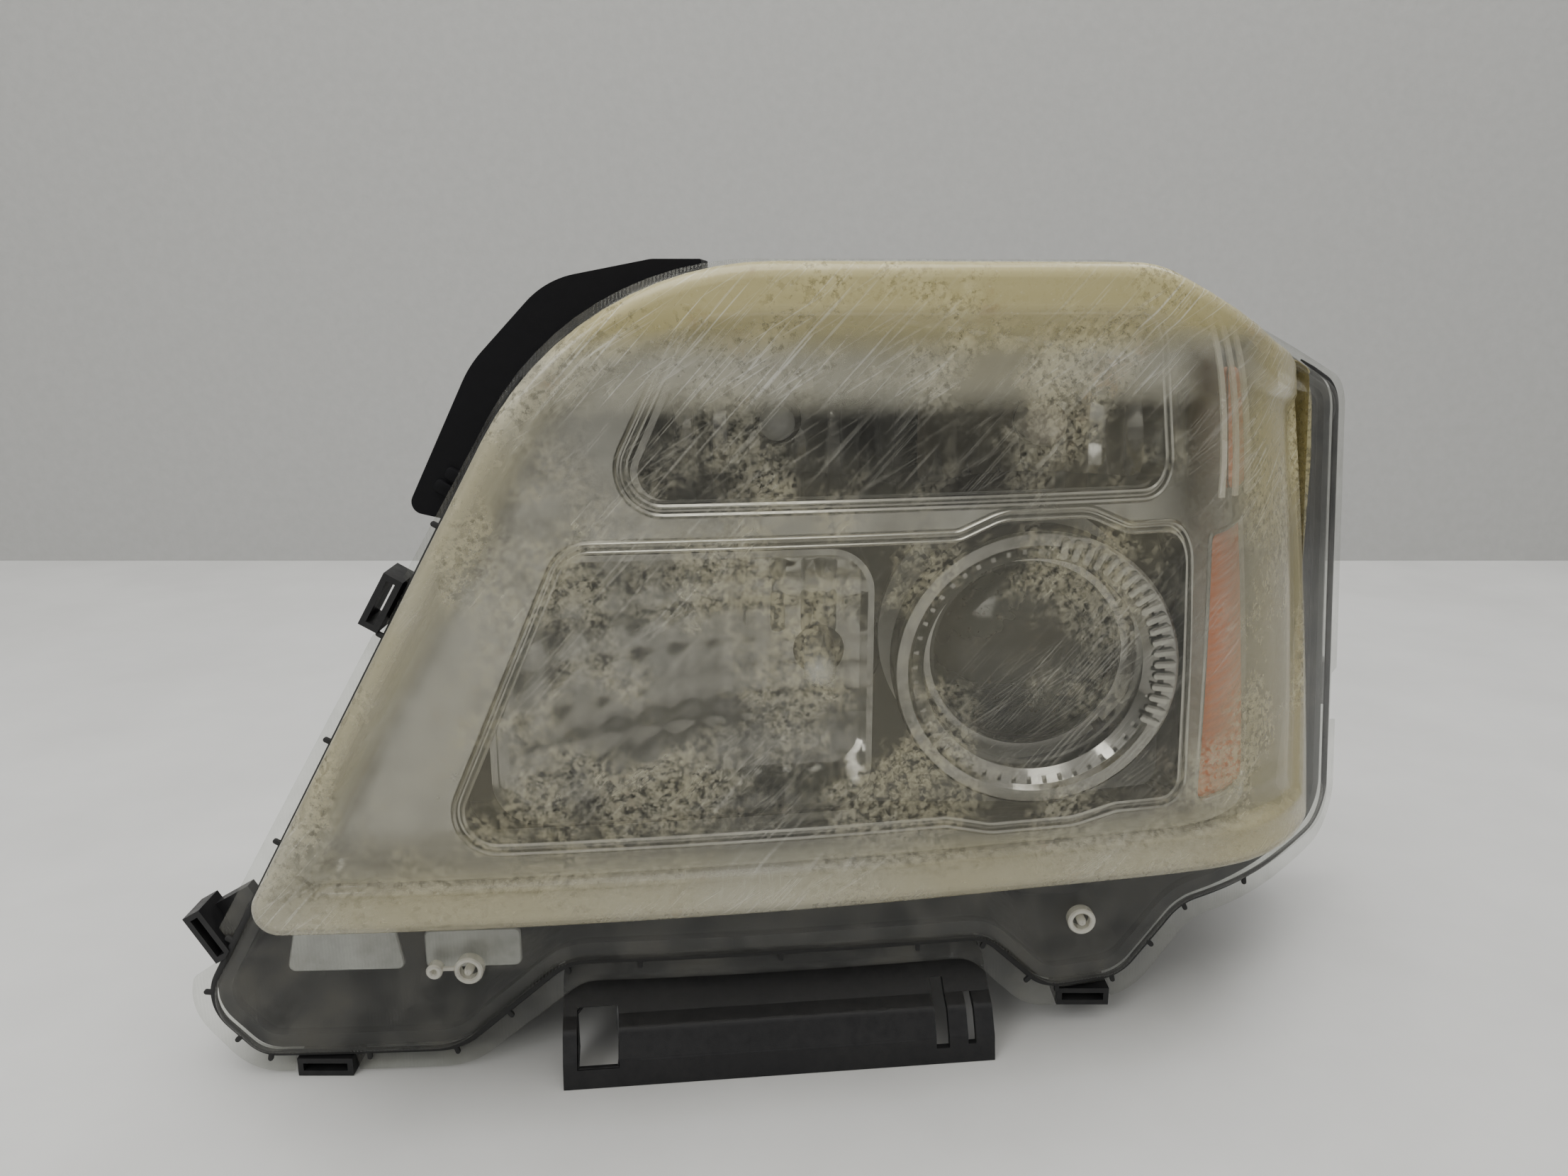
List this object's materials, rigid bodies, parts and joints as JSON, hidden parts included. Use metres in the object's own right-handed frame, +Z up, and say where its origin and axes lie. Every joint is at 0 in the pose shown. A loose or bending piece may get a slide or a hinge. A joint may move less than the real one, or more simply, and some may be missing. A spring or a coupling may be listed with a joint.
{
  "type": "car headlight assembly",
  "caption": "Left-hand car headlight: hazed clear lens over a chrome bezel, projector low beam, reflector high beam, amber side marker, black housing with caps, aiming gear and a lower bracket.",
  "frame": {"origin": "on the floor, below the middle of the lamp's bounding box", "axes": "-Y is the way the lamp shines, +X is outboard towards the side of the car, +Z is up"},
  "size_m": [0.4628, 0.3002, 0.2875],
  "materials": {
    "lens_clear": "hazed polycarbonate",
    "seal_black": "matte",
    "housing_black": "moulded, satin",
    "bezel_chrome": "bright metallised",
    "reflector_chrome": "bright metallised",
    "amber": "moulded amber",
    "projector_glass": "polished",
    "holder_metal": "die cast",
    "shutter_black": "matte",
    "carrier_grey": "moulded",
    "socket_white": "acetal",
    "screw_steel": "zinc plated",
    "brass_stud": "zinc plated",
    "gear_plastic": "acetal",
    "bulb_glass": "clear",
    "turn_glass": "amber coated",
    "bulb_base": "moulded",
    "cap_black": "moulded",
    "rubber_grey": "matte",
    "pin_metal": "tinned",
    "bracket_black": "satin, worn",
    "bush_steel": "plain"
  },
  "bodies": {
    "lamp": {"outer_lens": "lens_clear", "lens_seal": "seal_black", "housing_rim": "housing_black", "housing_top": "housing_black", "housing_inboard": "housing_black", "housing_middle": "housing_black", "housing_outboard": "housing_black", "high_beam_well": "housing_black", "low_beam_well": "housing_black", "bezel": "bezel_chrome", "side_marker_lens": "amber", "turn_reflector": "reflector_chrome", "pivot_studs": "brass_stud", "aim_gearbox": "housing_black", "aim_gearbox_cover": "housing_black", "inlet_connector": "bulb_base", "inlet_pins": "pin_metal", "vent_caps": "rubber_grey", "mount_bushes": "bush_steel", "fascia_bracket": "bracket_black", "bracket_screws": "screw_steel", "upper_shield": "bracket_black", "lens_clips": "bracket_black"},
    "carrier": {"carrier_frame": "carrier_grey", "high_beam_reflector": "reflector_chrome", "reflector_screws": "screw_steel", "projector_lens": "projector_glass", "projector_holder": "holder_metal", "projector_ring": "reflector_chrome", "ring_spokes": "carrier_grey", "cutoff_shutter": "shutter_black", "projector_bowl": "reflector_chrome", "projector_screws": "screw_steel", "pivot_sockets": "socket_white", "aim_socket": "socket_white"},
    "aim_stud": {"aim_stud": "brass_stud"},
    "aim_gear": {"aim_gear": "gear_plastic"},
    "aim_drive": {"aim_drive": "gear_plastic"},
    "low_beam_bulb": {"low_beam_bulb_base": "bulb_base", "low_beam_bulb_glass": "bulb_glass", "low_beam_bulb_seal": "rubber_grey"},
    "high_beam_bulb": {"high_beam_bulb_base": "bulb_base", "high_beam_bulb_glass": "bulb_glass", "high_beam_bulb_seal": "rubber_grey"},
    "park_socket": {"park_socket": "bulb_base", "park_bulb": "bulb_glass", "park_socket_seal": "rubber_grey"},
    "turn_socket": {"turn_socket": "bulb_base", "turn_bulb": "turn_glass", "turn_socket_seal": "rubber_grey"},
    "marker_socket": {"marker_socket": "bulb_base", "marker_bulb": "bulb_glass", "marker_socket_seal": "rubber_grey"},
    "low_beam_cap": {"low_beam_cap": "cap_black", "low_beam_cap_seal": "rubber_grey"},
    "high_beam_cap": {"high_beam_cap": "cap_black", "high_beam_cap_seal": "rubber_grey"}
  },
  "joints": [
    {"name": "carrier_tilt", "type": "hinge", "parent": "lamp", "child": "carrier", "pos_m": [0, -0.02, 0.208], "axis": [1, 0, 0], "range_deg": [-2, 2]},
    {"name": "aim_stud_slide", "type": "slide", "parent": "lamp", "child": "aim_stud", "axis": [0, 1, 0], "range_m": [-0.0047, 0.0047]},
    {"name": "aim_gear_turn", "type": "hinge", "parent": "lamp", "child": "aim_gear", "pos_m": [-0.095, 0.035, 0.075], "axis": [0, 1, 0], "range_deg": [-852.38, 852.38]},
    {"name": "aim_drive_turn", "type": "hinge", "parent": "lamp", "child": "aim_drive", "pos_m": [-0.095, 0.0366, 0.115], "axis": [0, 0, 1], "range_deg": [-2557.13, 2557.13]},
    {"name": "low_beam_bulb_twist", "type": "hinge", "parent": "carrier", "child": "low_beam_bulb", "pos_m": [0.069, 0.04, 0.148], "axis": [0, 1, 0], "range_deg": [0, 45]},
    {"name": "high_beam_bulb_twist", "type": "hinge", "parent": "carrier", "child": "high_beam_bulb", "pos_m": [-0.006, -0.03, 0.141], "axis": [0, 1, 0], "range_deg": [0, 45]},
    {"name": "park_socket_twist", "type": "hinge", "parent": "lamp", "child": "park_socket", "pos_m": [-0.022, -0.008, 0.231], "axis": [0, 1, 0], "range_deg": [0, 45]},
    {"name": "turn_socket_twist", "type": "hinge", "parent": "lamp", "child": "turn_socket", "pos_m": [0.074, -0.008, 0.231], "axis": [0, 1, 0], "range_deg": [0, 45]},
    {"name": "marker_socket_twist", "type": "hinge", "parent": "lamp", "child": "marker_socket", "pos_m": [0.168, 0.034, 0.112], "axis": [0, 1, 0], "range_deg": [0, 45]},
    {"name": "low_beam_cap_twist", "type": "hinge", "parent": "lamp", "child": "low_beam_cap", "pos_m": [0.069, 0.118, 0.148], "axis": [0, 1, 0], "range_deg": [0, 45]},
    {"name": "high_beam_cap_twist", "type": "hinge", "parent": "lamp", "child": "high_beam_cap", "pos_m": [-0.006, 0.074, 0.141], "axis": [0, 1, 0], "range_deg": [0, 45]}
  ],
  "couplings": [
    {"joint": "aim_stud_slide", "follows": "carrier_tilt", "m_per_rad": 0.133},
    {"joint": "aim_gear_turn", "follows": "carrier_tilt", "ratio": 417.83},
    {"joint": "aim_drive_turn", "follows": "carrier_tilt", "ratio": 1253.5}
  ]
}
